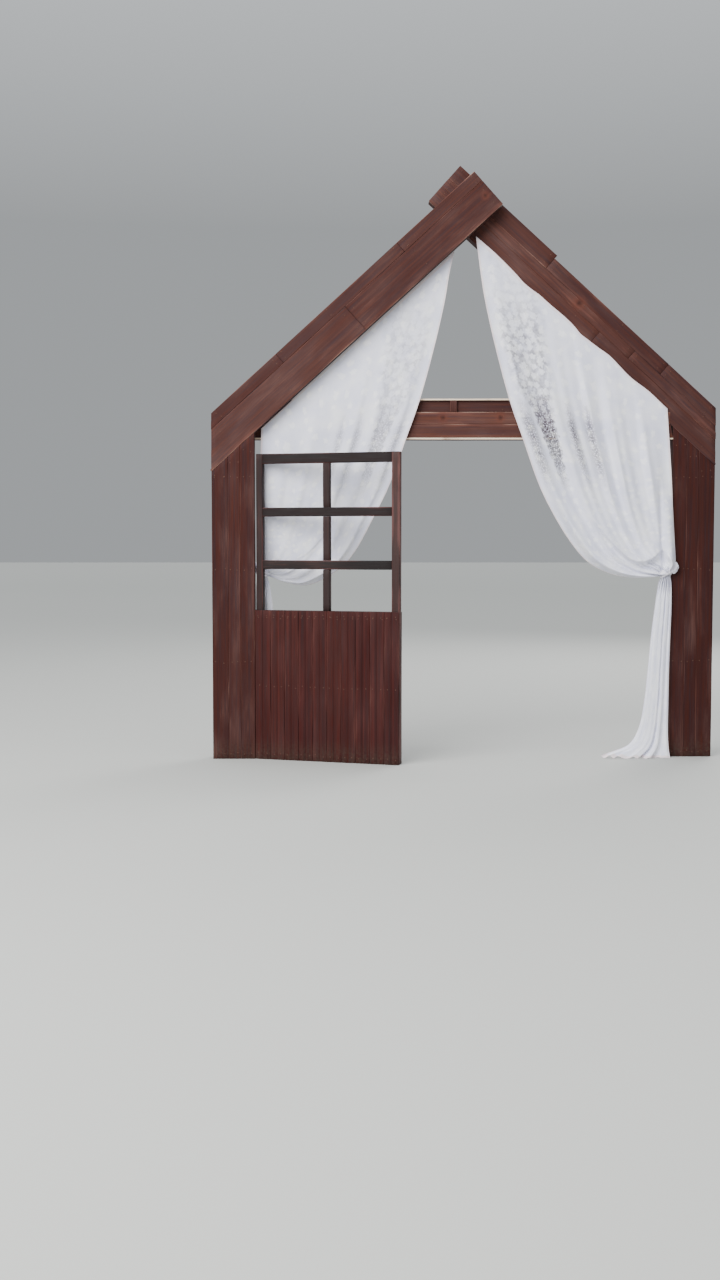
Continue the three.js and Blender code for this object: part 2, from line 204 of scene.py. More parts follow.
def sawn_softwood(name, stain, streak, warm, washed, worn, raw, sawn, tones, rough=0.8, knots=()):
    """Sawn softwood under a worn wood stain. Its own grain attribute runs along each board, so the
    eye sees fine fibres about 4 mm apart, darker growth bands 16 mm apart that wander along the
    board, patches where rain has washed the stain, grey bare wood where the arrises are rubbed,
    cream wood on sawn edges that were left bare, and mud splashed up from the ground. The bare
    attribute also paints the crest of a proud relief light, partly as wear and partly as a painted
    highlight. The tone attribute is how light each board is: how its stain has dried, and on the
    posts, the rafters' undersides and the window's rails partly painted shade. tones are the
    stain's strengths at its two ends."""
    material, add = new_material(name)
    grain = add("Attribute", attribute_name="grain").outputs["Vector"]
    tone = add("Attribute", attribute_name="tone").outputs["Fac"]
    rubbed_and_highlight = add("Attribute", attribute_name="bare_and_highlight").outputs["Fac"]
    place = add("TexCoord").outputs["Object"]

    def along_grain(scale, detail, distortion=0.0):
        """Noise with so many cells to the metre along the board, across it and into it."""
        stretched = add("Mapping", {"Vector": grain, "Scale": scale})
        more = {"Scale": 1.0, "Detail": detail, "Distortion": distortion}
        return add("TexNoise", {"Vector": stretched, **more})

    fibre = along_grain((6.5, 250, 250), 4.0)  # 4 mm across the board, 150 mm along it
    band = along_grain((1.0, 62, 62), 3.0, 0.6)  # 16 mm across, 1 m along
    patch = along_grain((2.2, 9, 9), 5.0)  # 110 mm across, 450 mm along
    lines = add("Math MULTIPLY", band, 1.2)
    lines = add("Math MULTIPLY_ADD", fibre, 0.8, lines)
    shade = add("MapRange", lines, 0.6, 1.4)
    colour = add("ValToRGB", shade, stops=[(0.0, streak), (0.5, stain), (1.0, warm)])

    # Boards of low tone are fuller in colour, and the patches vary all of them. Low tone is a stain
    # that dried dark, and on the posts, the rafters' undersides and the window's rails partly
    # painted shade.
    hue = add("MapRange", tone, 0.0, 1.0, 0.492, 0.508)
    full = add("MapRange", patch, 0.3, 0.7, 1.12, 0.92)
    full = add("Math MULTIPLY", full, add("MapRange", tone, 0.0, 0.4, 1.3, 1.0))
    light = add("MapRange", patch, 0.3, 0.7, 0.84, 1.14)
    light = add("Math MULTIPLY", light, add("MapRange", tone, 0.0, 1.0, *tones))
    dried = {"Hue": hue, "Saturation": full, "Value": light, "Color": colour}
    colour = add("HueSaturation", dried)
    wash = add("MapRange", patch, 0.52, 0.72, 0.0, 0.25)
    wash = add("Math MULTIPLY", wash, add("MapRange", fibre, 0.35, 0.6))

    # The rubbed amount, made ragged by the fibres, first thins the stain and then bares the wood.
    # On a proud crest it also holds a painted highlight, drawn the same way.
    ragged = add("Math", rubbed_and_highlight, add("MapRange", fibre, 0.3, 0.7, -0.2, 0.2))
    ragged = add("Math", ragged, add("MapRange", patch, 0.3, 0.7, -0.2, 0.1))
    thinned_and_highlight = add("MapRange", ragged, 0.1, 0.6, 0.0, 0.8)
    bared = add("MapRange", ragged, 0.75, 1.0, 0.0, 0.9)
    pale = add("Mix", add("MapRange", rubbed_and_highlight, 1.0, 1.2), raw, sawn, data_type="RGBA")
    layers = [(wash, washed), (thinned_and_highlight, worn), (bared, pale)]

    # Knots: dark discs, pulled up to 7 mm out of round, with the grain darker around them.
    for centre, radius in knots:
        wobble = add("TexNoise", {"Vector": place, "Scale": 60.0}).outputs["Color"]
        near = add("VectorMath MULTIPLY_ADD", wobble, (0.014,) * 3, place)
        gap = add("VectorMath DISTANCE", near, tuple(np.add(centre, 0.007)))
        layers.append((add("MapRange", gap, radius, radius * 2.6, 0.45, 0.0), "#5c2c1e"))
        layers.append((add("MapRange", gap, radius * 0.2, radius * 1.2, 0.85, 0.0), "#2c110a"))

    # Mud splashes: strongest at the ground, gone 0.15 m above it.
    mud = add("MapRange", add("SeparateXYZ", place).outputs["Z"], 0.0, 0.15, 0.55, 0.0)
    spots = add("TexNoise", {"Vector": place, "Scale": 70.0, "Detail": 5.0})
    mud = add("Math MULTIPLY", mud, add("MapRange", spots, 0.35, 0.65))
    for amount, shade in [*layers, (mud, "#3d342b")]:
        colour = add("Mix", amount, colour, shade, data_type="RGBA")

    height = add("Math MULTIPLY_ADD", rubbed_and_highlight, -0.5, lines)
    surface = {
        "Base Color": colour,
        "Roughness": add("MapRange", fibre, 0.3, 0.7, rough - 0.1, rough + 0.1),
        "IOR": 1.5,
        "Specular IOR Level": 0.3,
        "Normal": add("Bump", {"Strength": 0.5, "Distance": 0.0012, "Height": height}),
    }
    add("OutputMaterial", add("BsdfPrincipled", surface))
    return material


def rusted_nail():
    """Round wire nails, stained over with the boards and rusting through: dark brown, half matt,
    with rust spots about 1 mm across."""
    material, add = new_material("stained_wire_nails")
    place = add("TexCoord").outputs["Object"]
    spots = add("TexNoise", {"Vector": place, "Scale": 900.0, "Detail": 2.0})
    colour = add("ValToRGB", spots, stops=[(0.35, "#33241f"), (0.7, "#6b4330")])
    surface = {"Base Color": colour, "Metallic": 0.4, "Roughness": 0.6}
    add("OutputMaterial", add("BsdfPrincipled", surface))
    return material


def cotton_lace(name, lacework):
    """White cotton net curtain, matt with a faint sheen. The net's threads, 2 mm apart, are too
    fine to show, so they are drawn 7 mm apart. Faint round rosettes 30 to 50 mm across are woven
    into it every 110 mm or so. A border of open lacework runs down beside the free side: 0.34 m
    wide under the peak, 0.16 m wide 1.7 m above the tie-back, and faded out 1.1 m above it. It
    shows what lies behind, at first between white rosettes 25 to 50 mm across, and lower down
    through holes 15 mm by 20 mm apart, and its holes are also coloured a dark grey-violet as
    painted shade. lacework, from 0 to 1, is how clearly it does. The hems are double cloth."""
    material, add = new_material(name)
    cloth = add("UVMap", uv_map="cloth")
    hem = add("Attribute", attribute_name="hem").outputs["Fac"]
    axes = add("SeparateXYZ", cloth)
    across, along = axes.outputs["X"], axes.outputs["Y"]

    def uneven(scale, detail):
        """Noise with so many cells to the metre across the cloth and along it."""
        stretched = add("Mapping", {"Vector": cloth, "Scale": (*scale, 1.0)})
        return add("TexNoise", {"Vector": stretched, "Scale": 1.0, "Detail": detail})

    def cells(scale, randomness):
        """Cells pulled about by up to a third of their size, so that no row of them is straight."""
        place = add("Mapping", {"Vector": cloth, "Scale": (*scale, 1.0)})
        drift = add("TexNoise", {"Vector": place, "Scale": 0.9, "Detail": 2.0}).outputs["Color"]
        place = add("VectorMath MULTIPLY_ADD", drift, (0.9, 0.9, 0.0), place)
        inputs = {"Vector": place, "Scale": 1.0, "Randomness": randomness}
        return place, add("TexVoronoi", inputs, voronoi_dimensions="2D")

    def rosettes(scale, low, high):
        """A rosette in each cell: within a radius that swells five times from low to high."""
        place, cell = cells((scale, scale), 0.6)
        arm = add("VectorMath SUBTRACT", place, cell.outputs["Position"])
        arm = add("SeparateXYZ", arm)
        turn = add("Math ARCTAN2", arm.outputs["Y"], arm.outputs["X"])
        spin = add("Math MULTIPLY", cell.outputs["Color"], 6.0)
        lobe = add("Math MULTIPLY_ADD", turn, 2.5, spin)
        lobe = add("Math ABSOLUTE", add("Math SINE", lobe))
        lobe = add("Math POWER", lobe, 0.5)
        radius = add("MapRange", lobe, 0.0, 1.0, low, high)
        outside = add("Math SUBTRACT", cell, radius)
        return add("MapRange", outside, -0.05, 0.04, 1.0, 0.0)

    # Net: two crossed sets of threads.
    threads = [add("Math MULTIPLY", axis, math.tau / 0.007) for axis in (across, along)]
    net = add("Math MULTIPLY", *(add("Math SINE", thread) for thread in threads))
    slub = uneven((90, 14), 3.0)  # uneven yarn, 70 mm long and 11 mm apart
    cloud = uneven((6, 6), 4.0)  # cloudy thickness, 0.17 m across
    rosette = rosettes(9, 0.14, 0.24)

    alpha = add("MapRange", net, -1.0, 1.0, 0.84, 0.97)
    alpha = add("Math MAXIMUM", alpha, add("Math MULTIPLY", rosette, 0.97))
    gap = 0.0
    if lacework:
        # The border narrows towards the tie-back, and its edges wander by 16 mm.
        half = add("MapRange", along, -1.88, -1.70, 0.142, 0.080, interpolation_type="SMOOTHSTEP")
        half = add("Math", half, add("MapRange", along, -1.70, -1.25, 0.0, -0.040))
        half = add("Math", half, add("MapRange", along, -2.25, -1.86, 0.028, 0.0))
        middle = add("MapRange", along, -1.86, -1.72, 0.245, 0.272)
        edge = add("Math ABSOLUTE", add("Math SUBTRACT", across, middle))
        edge = add("Math SUBTRACT", edge, half)
        edge = add("Math", edge, add("MapRange", uneven((22, 22), 2.0), 0.3, 0.7, -0.016, 0.016))
        soft = add("MapRange", along, -1.90, -1.60, 0.035, 0.011)
        border = add("MapRange", add("Math DIVIDE", edge, soft), -1.0, 1.0, 1.0, 0.0)
        border = add("Math MULTIPLY", border, add("MapRange", along, -2.55, -2.20, 0.2, 1.0))
        # Where the cloth is gathered there are three more rows, which fade out 68 mm, 54 mm and 48
        # mm from their middles. They are partly holes and partly painted shade of the folds there.
        low_down = add("MapRange", along, -1.82, -1.60)
        for at, reach, share in ((0.105, 0.0675, 0.9), (0.496, 0.054, 0.85), (0.652, 0.048, 0.8)):
            row = add("Math ABSOLUTE", add("Math", across, -at))
            row = add("Math MULTIPLY", add("MapRange", row, 0.0, reach, share, 0.0), low_down)
            border = add("Math MAXIMUM", border, row)
        fade = (lacework, 0.08 * lacework)
        border = add("Math MULTIPLY", border, add("MapRange", along, -1.38, -1.10, *fade))
        # An even open net at the top gives way to distinct holes, and they thin out lower down.
        dense = add("MapRange", along, -1.3, -1.05, 1.0, 0.3)
        dense = add("Math MULTIPLY", dense, add("MapRange", along, -1.86, -1.60))
        hole = add("MapRange", cells((68, 50), 0.9)[1], 0.12, 0.34)
        open_net = add("MapRange", uneven((18, 18), 5.0), 0.36, 0.64, 0.0, 0.50)
        open_net = add("Math MULTIPLY_ADD", hole, 0.12, open_net)
        hole = add("Mix", dense, open_net, add("Math MULTIPLY", hole, 0.92))
        white = add("MapRange", dense, 0.0, 1.0, 0.70, 0.20)
        white = add("Math MULTIPLY", white, rosettes(17, 0.22, 0.42))
        rosette = add("Math MAXIMUM", rosette, add("Math MULTIPLY", white, border))
        between = add("Math SUBTRACT", 1.0, white)
        gap = add("Math MULTIPLY", add("Math MULTIPLY", hole, border), between)
        alpha = add("Math MULTIPLY_ADD", gap, -0.45, alpha, use_clamp=True)
    alpha = add("Math MAXIMUM", alpha, hem)

    thick = add("MapRange", cloud, 0.35, 0.7)
    colour = add("ValToRGB", thick, stops=[(0.0, "#dfe0f2"), (0.5, "#ebebf8"), (1.0, "#f5f5fb")])
    # The gap colour is painted shade in the holes.
    for amount, shade in (
        (gap, "#554c5c"),
        (add("Math MULTIPLY", rosette, 0.45), "#fbfaf9"),
        (add("Math MULTIPLY", hem, 0.60), "#dfc8c4"),
    ):
        colour = add("Mix", amount, colour, shade, data_type="RGBA")

    height = add("Math MULTIPLY_ADD", rosette, 0.6, slub)
    height = add("Math MULTIPLY_ADD", net, 0.25, height)
    surface = {
        "Base Color": colour,
        "Roughness": add("MapRange", slub, 0.3, 0.7, 0.86, 0.96),
        "Alpha": alpha,
        "Sheen Weight": 0.2,
        "Sheen Roughness": 0.5,
        "Normal": add("Bump", {"Strength": 0.4, "Distance": 0.0012, "Height": height}),
    }
    add("OutputMaterial", add("BsdfPrincipled", surface))
    return material


STAINED = sawn_softwood(
    "red_brown_stained_softwood", stain="#4c2a24", streak="#3b2327", warm="#60372c",
    washed="#6a524c", worn="#643d33", raw="#a58a7a", sawn="#ead6bf", tones=(0.32, 1.10),
    knots=KNOTS,
)
# The window's and the base's colours are very dark, partly as painted shade of plants over the
# panel.
WINDOW = sawn_softwood(
    "old_stained_window_pine", stain="#301a18", streak="#231315", warm="#412420",
    washed="#4a322d", worn="#593532", raw="#74504a", sawn="#927264", tones=(0.11, 1.0),
    rough=0.72,
)
CLADDING = sawn_softwood(
    "rough_grooved_cladding", stain="#3a1411", streak="#2b1012", warm="#4e1d18",
    washed="#452824", worn="#512b26", raw="#7a5a4c", sawn="#8f6f60", tones=(0.56, 0.90),
    rough=0.88,
)
NAILS = rusted_nail()
LACE = {
    "left": cotton_lace("cotton_lace_net_faint_border", lacework=0.45),
    "right": cotton_lace("cotton_lace_net", lacework=1.0),
}
GATHERED_LACE = cotton_lace("gathered_cotton_net", lacework=0.0)

# Planks


def wander(length, seed):
    """Smooth noise along a length, from -1 to 1: three sine waves from 0.9 m to 0.2 m long, each
    half as strong as the one before, with seeded phases."""
    phases = np.random.default_rng(seed).uniform(0, math.tau, 3)
    waves = zip((0.9, 0.43, 0.2), phases)
    return sum(0.5**k * np.sin(math.tau * length / w + p) for k, (w, p) in enumerate(waves)) / 1.75


def plank_profile(width, thickness, edge, relief):
    """The ring of (across, out) points round a plank: a rectangle whose four corners are quarter
    circles of radius edge. Out is 0 on the face, and relief lifts or sinks points of that face."""
    half = width / 2
    turn = np.radians([0, 30, 60, 90])
    corners = []
    for k, (a, n) in enumerate([(half, -thickness), (half, 0), (-half, 0), (-half, -thickness)]):
        middle = (a - math.copysign(edge, a), n + (edge if n < 0 else -edge))
        angle = turn + math.radians(90 * k - 90)
        corners.append(middle + edge * np.stack([np.cos(angle), np.sin(angle)], 1))
    steps = max(4, round(width / 0.018))
    inner = half - edge - 0.003
    face = np.linspace(inner, -inner, steps)
    lift = np.zeros(steps)
    if relief:
        at, by = np.array(relief).T
        face = np.unique(np.concatenate([face, at]))[::-1]
        lift = np.interp(face, at, by)
    face = np.stack([face, lift], 1)
    back = np.stack([np.linspace(-inner, inner, 3), np.full(3, -thickness)], 1)
    return np.concatenate([back, *corners[:2], face, *corners[2:]])


def tube_faces(rows, count):
    """Faces of a closed tube of rings: quads round its sides, and a fan of triangles round a middle
    point at each end. The two middle points come after the rings' points."""
    index = np.arange(rows * count).reshape(rows, count)
    following = np.roll(index, -1, 1)
    sides = np.stack([index[:-1], following[:-1], following[1:], index[1:]], -1).reshape(-1, 4)
    first, last = (np.full(count, rows * count + k) for k in (0, 1))
    low = np.stack([first, following[0], index[0]], 1)
    high = np.stack([last, index[-1], following[-1]], 1)
    return sides, np.concatenate([low, high])


def plank(
    start, along, out, width, thickness, ends, seed, edge=0.0025, rub=0.006, relief=(), raw=None,
    rawness=1.1, nails=0.0, shift=0.0, tone=0.5,
):
    """A plank: the rounded profile carried along a straight line from one cutting plane to another.

    start is a point on the middle line of its face, out the direction that the face looks. Each end
    is a plane (normal, distance); station f of the line lies at lerp(cut0(a), cut1(a), f) for every
    distance a across, so that the cuts may slant. The plank bows, cups and wanders by about a
    millimetre, and its arrises are worn back unevenly, rub being the width of the worn strip, or of
    the strips at the low and the high side across. raw names a side ("low" or "high") whose edge is
    bare wood, by as much as rawness, nails is the spacing of its rows of nails, shift is how far it
    stands out, and tone is how light the board is, from 0 to 1: how its stain has dried, and on some
    boards painted shade as well."""
    start, along, out = (np.asarray(v, float) for v in (start, along, out))
    across = np.cross(out, along)
    rng = np.random.default_rng(seed)
    a, n = plank_profile(width, thickness, min(edge, thickness * 0.35, width * 0.35), relief).T
    cuts = [(c - (start @ m) - a * (across @ m)) / (along @ m) for m, c in ends]
    if np.mean(cuts[0]) > np.mean(cuts[1]):
        cuts.reverse()
    length = float(np.mean(cuts[1] - cuts[0]))
    rim = 0.0015 / length
    f = np.linspace(0, 1, max(3, math.ceil(length / 0.045)))[1:-1]
    f = np.concatenate([[0, rim], f, [1 - rim, 1]])[:, None]
    s = cuts[0] * (1 - f) + cuts[1] * f

    # How near each point lies to an arris, and how far that arris is worn back there. The last
    # 1.5 mm of both ends is drawn in as well.
    front = n > -thickness / 2
    corner = np.hypot(np.abs(a) - width / 2, np.minimum(np.abs(n), np.abs(n + thickness)))
    wear = np.clip(0.6 + 0.7 * wander(s + 9 * np.sign(a) + 5 * front, seed), 0.1, 1.6)
    inset = edge * 0.35 * wear * np.clip(1 - corner / (1.2 * edge), 0, 1)
    inset = inset + np.where((f == 0) | (f == 1), 0.0012, 0.0)
    bow = 0.0007 * wander(s, seed + 1) + 0.0006 * rng.uniform(-1, 1) * (a / (width / 2)) ** 2
    sideways = a - np.sign(a) * inset + 0.0003 * wander(s, seed + 2)
    outwards = n + np.where(front, bow - inset, inset) + shift + rng.uniform(-0.0006, 0.0002)
    points = start + s[..., None] * along + sideways[..., None] * across + outwards[..., None] * out

    strip = np.where(a < 0, *np.broadcast_to(rub, 2))
    bare_and_highlight = np.clip(1 - corner / (strip * wear), 0, 1)
    ridge, proud = max(relief, key=lambda point: point[1]) if relief else (0.0, 0.0)
    # A proud relief's crest is painted light: partly wear, partly a painted highlight.
    if proud > 0:
        bare_and_highlight = np.maximum(bare_and_highlight, 0.45 * wear * np.clip(1.2 - np.abs(a - ridge) / 0.014, 0, 1))
    if raw:
        side = (a if raw == "high" else -a) > width / 2 - 0.001
        bare_and_highlight = np.where(side, np.clip(rawness + 0.4 * wander(s * 1.7, seed + 3), 0.4, 1.3), bare_and_highlight)
    grain = np.stack(np.broadcast_arrays(s, a, n), -1) + rng.uniform(-40, 40, 3)
    parts = [
        {
            "points": np.concatenate([points.reshape(-1, 3), points[[0, -1]].mean(1)]),
            "grain": np.concatenate([grain.reshape(-1, 3), grain[[0, -1]].mean(1)]),
            "bare_and_highlight": np.append(bare_and_highlight, [0.3, 0.3]),
            "tone": np.full(s.size + 2, tone + rng.uniform(-0.14, 0.14)),
            "faces": tube_faces(*s.shape),
            "material": 0,
        }
    ]
    if nails:
        # Rows of two nails, 28% of the width off the middle and from 35 mm off either end.
        low, high = cuts[0].max(), cuts[1].min()
        lengths = np.append(np.arange(low + 0.035, high - 0.03, nails), high - 0.035)
        places = np.stack(np.meshgrid(lengths, [-0.28 * width, 0.28 * width]), -1).reshape(-1, 2)
        places = places + rng.normal(0, 0.004, places.shape)
        lift = np.interp(places[:, 1], *np.array(relief).T) if relief else 0.0
        lift = np.reshape(lift + shift + 0.0001, (-1, 1))
        centres = start + places[:, :1] * along + places[:, 1:] * across + lift * out
        parts.append(nail_heads(centres, along, across, out))
    return parts


def nail_heads(centres, along, across, out):
    """Nail heads 7.5 mm across: rings about each nail's axis, whose radii and heights draw a dome
    1.3 mm high over a short closed shank that ends inside the wood."""
    radius = np.array([0.7, 1.0, 1.0, 0.72, 0.38])[:, None, None] * 0.00375
    height = np.array([-0.002, -0.0015, 0.0002, 0.0008, 0.0012])[:, None, None]
    angle = np.arange(10)[:, None] * math.tau / 10
    rings = radius * (np.cos(angle) * along + np.sin(angle) * across) + height * out
    shape = np.concatenate([rings.reshape(-1, 3), [-0.002 * out, 0.0013 * out]])
    base = np.arange(len(centres))[:, None, None] * len(shape)
    faces = [(base + f).reshape(-1, f.shape[1]) for f in tube_faces(*rings.shape[:2])]
    points = (centres[:, None] + shape).reshape(-1, 3)
    zeros = np.zeros(len(points))
    return {
        "points": points, "grain": np.zeros(points.shape), "bare_and_highlight": zeros, "tone": zeros,
        "faces": faces, "material": 1,
    }


def add_piece(name, points, faces, used, materials, attributes, nodes):
    """Puts one mesh into the scene as a piece that stands for the CAD nodes it replaces. faces are
    arrays of quads, which are smooth, or of triangles, which are flat, and used says which of the
    materials each array has. attributes are values, or vectors, at the points."""
    counts = [len(array) for array in faces]
    corners = np.concatenate([array.ravel() for array in faces])
    totals = np.repeat([array.shape[1] for array in faces], counts)
    mesh = bpy.data.meshes.new(name)
    mesh.vertices.add(len(points))
    mesh.vertices.foreach_set("co", points.ravel())
    mesh.loops.add(len(corners))
    mesh.loops.foreach_set("vertex_index", corners.astype(np.int32))
    mesh.polygons.add(len(totals))
    mesh.polygons.foreach_set("loop_start", (np.cumsum(totals) - totals).astype(np.int32))
    mesh.polygons.foreach_set("use_smooth", totals == 4)
    for material in materials:
        mesh.materials.append(material)
    mesh.polygons.foreach_set("material_index", np.repeat(used, counts).astype(np.int32))
    for key, values in attributes.items():
        kind, field = ("FLOAT_VECTOR", "vector") if values.ndim == 2 else ("FLOAT", "value")
        attribute = mesh.attributes.new(key, kind, "POINT")
        attribute.data.foreach_set(field, values.ravel().astype(np.float32))
    mesh.update(calc_edges=True)
    piece = bpy.data.objects.new(name, mesh)
    bpy.context.scene.collection.objects.link(piece)
    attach(piece, "root")
    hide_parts(*nodes)
    return piece


def timber_piece(name, planks, material, nodes):
    """Joins planks and their nails into one piece."""
    parts = [part for board in planks for part in board]
    joined = {
        key: np.concatenate([part[key] for part in parts])
        for key in ("points", "grain", "bare_and_highlight", "tone")
    }
    points = joined.pop("points")
    starts = np.cumsum([0] + [len(part["points"]) for part in parts])
    faces = [array + start for start, part in zip(starts, parts) for array in part["faces"]]
    used = np.repeat([part["material"] for part in parts], 2)
    return add_piece(name, points, faces, used, [material, NAILS], joined, nodes)


def stained(name, *planks):
    """A piece of the arch's own boards. It has its CAD node's name with planks for boards."""
    timber_piece(name.replace("board", "plank"), planks, STAINED, [name])


def weatherboard(width):
    """The relief of a board whose face slopes out to a proud upper arris, 6 mm at most. plank
    paints the arris light, partly as wear and partly as a painted highlight.
    """
    half = width / 2
    return [(-half * 0.2, 0.0), (half - 0.009, 0.006), (half - 0.006, 0.005)]


def rounded_bead(width):
    """The relief of the rafter's middle row: a low rounded swelling along its lower half, 5 mm
    proud. plank paints its crest light, partly as wear and partly as a painted highlight."""
    bead = 0.052
    places = np.arange(0.004, bead + 0.001, 0.008)
    return [(at - width / 2, 0.005 * math.sin(math.pi * at / bead)) for at in places]


def build_post(side):
    """Three face boards front and back, and an edge board on either side of the hollow, all with a
    low tone that is painted shade.
    """
    sign, front, seed = SIGN[side], FRONT[side], 100 if side == "left" else 200
    ends = ((Z, 0.0), (SLOPE * sign * X + Z, CREST[side] - FACE / COS - FIT))
    for where, out, y, first, widths in (
        ("front", -Y, front, seed, (0.095, 0.081, 0.109)),
        ("back", Y, front + DEPTH, seed + 10, (0.106, 0.094, 0.085)),
    ):
        middles = INNER + np.cumsum(widths) - np.array(widths) / 2
        # The face boards' low tone of 0.08 is painted shade.
        planks = [
            plank(
                (sign * x, y, 0), Z, out, width - POST_SEAM, BOARD - SLACK, ends, first + k,
                edge=0.0018, rub=0.003, nails=0.62, tone=0.08,
            )
            for k, (x, width) in enumerate(zip(middles, widths))
        ]
        stained(f"{side}_post_{where}_boards", *planks)
    middle = front + DEPTH / 2
    for where, x, facing in (("inner", INNER, -sign), ("outer", HALF_WIDTH, sign)):
        # The edge boards' low tone of 0.2 is painted shade too.
        edge_board = plank(
            (sign * x, middle, 0), Z, facing * X, CORE, BOARD, ends, seed + 20 + (facing > 0),
            nails=0.7, tone=0.2,
        )
        stained(f"{side}_post_{where}_board", edge_board)


# Rows of a rafter's face boards: how far each row's upper and lower sides lie under the crest line,
# and how far down the slope its butt joints are.
FRONT_ROWS = {
    "left": ((0.0, 0.080, (0.62, 1.7)), (0.080, FACE, (1.15,))),
    "right": (
        (0.0, 0.088, (0.19, WIDE_BOARD_END, 1.85)), (0.088, 0.156, (1.62,)), (0.156, FACE, (1.36,)),
    ),
}
BACK_ROWS = ((0.0, 0.105, (0.74, 1.62)), (0.105, 0.192, (1.33,)), (0.192, FACE, (0.48, 1.88)))


def build_rafter(side):
    """Face boards in rows with staggered butt joints, and the boards that close the box. The right
    rafter's front has three rows, and the left one's a wide board under a narrow one."""
    sign, front, seed = SIGN[side], FRONT[side], 300 if side == "left" else 400
    down_slope = np.array([sign * COS, 0, -SIN])
    up = np.array([sign * SIN, 0, COS])
    crest = np.array([0, 0, CREST[side]])

    def joint(at):
        """The plane that cuts the rafter square, so far down the slope from the crest."""
        return (down_slope, float(crest @ down_slope) + at)

    peak, plumb = joint(-OVERRUN), (X, sign * HALF_WIDTH)

    def face_plank(y, out, row, k, top, low, ends, seed):
        """The board number k of a row, from the peak down."""
        wide = side == "right" and out[1] < 0 and row == 0 and k < 2
        high = top - (WIDE_BOARD if wide else 0.0)
        width = low - high - RAFTER_SEAM
        relief = rounded_bead(width) if side == "right" and row == 1 else ()
        # Across points down on the left front and right back, and up on the others.
        rub = (0.010 if side == "left" and row == 1 else 0.003, 0.006 if row == 0 else 0.003)
        if np.cross(out, down_slope) @ up < 0:
            relief = [(-a, n) for a, n in relief[::-1]]
            rub = rub[::-1]
        tone = 0.38 if side == "left" else (0.42 if row == 0 else 0.50)
        return plank(
            crest - (high + low) / 2 * up + y * Y, down_slope, out, width, BOARD - SLACK, ends,
            seed, edge=0.0018, rub=(0.012, 0.006) if wide else rub, relief=relief, nails=0.6,
            tone=tone,
        )

    for where, out, y, rows, first in (
        ("front", -Y, front, FRONT_ROWS[side], seed),
        ("back", Y, front + DEPTH, BACK_ROWS, seed + 40),
    ):
        planks = []
        for row, (top, low, joints) in enumerate(rows):
            starts = [peak, *(joint(at + BUTT) for at in joints)]
            stops = [*(joint(at - BUTT) for at in joints), plumb]
            planks += [
                face_plank(y, out, row, k, top, low, ends, first + 10 * row + k)
                for k, ends in enumerate(zip(starts, stops))
            ]
        stained(f"{side}_rafter_{where}_boards", *planks)

    # The boards that close the box: along the top, underneath, and over its two ends.
    ridge = crest + (front + DEPTH / 2) * Y
    planks = [
        plank(ridge, down_slope, up, CORE, BOARD, ends, seed + 80 + k, rub=0.012, nails=0.8)
        for k, ends in enumerate([(peak, joint(1.31)), (joint(1.3115), plumb)])
    ]
    stained(f"{side}_rafter_top_board", *planks)
    under = ridge - FACE * up
    # The underside's tone of 0 is painted shade.
    board = plank(under, down_slope, -up, CORE, BOARD, (peak, plumb), seed + 82, nails=0.9, tone=0.0)
    stained(f"{side}_rafter_bottom_board", board)

    cap = ridge - OVERRUN * down_slope
    ends = [(up, float(crest @ up) - d) for d in (FACE - BOARD - SLACK, BOARD + SLACK)]
    board = plank(cap, up, -down_slope, CORE, BOARD, ends, seed + 83, rub=0.01, nails=0.2)
    stained(f"{side}_rafter_peak_end", board)

    foot = (sign * HALF_WIDTH, front + DEPTH / 2, 0)
    thick = BOARD / COS + SLACK
    heights = (CREST[side] - FACE / COS + thick, CREST[side] - thick)
    ends = [(SLOPE * sign * X + Z, height) for height in heights]
    board = plank(foot, Z, sign * X, CORE, BOARD, ends, seed + 84, nails=0.25)
    stained(f"{side}_rafter_foot_end", board)


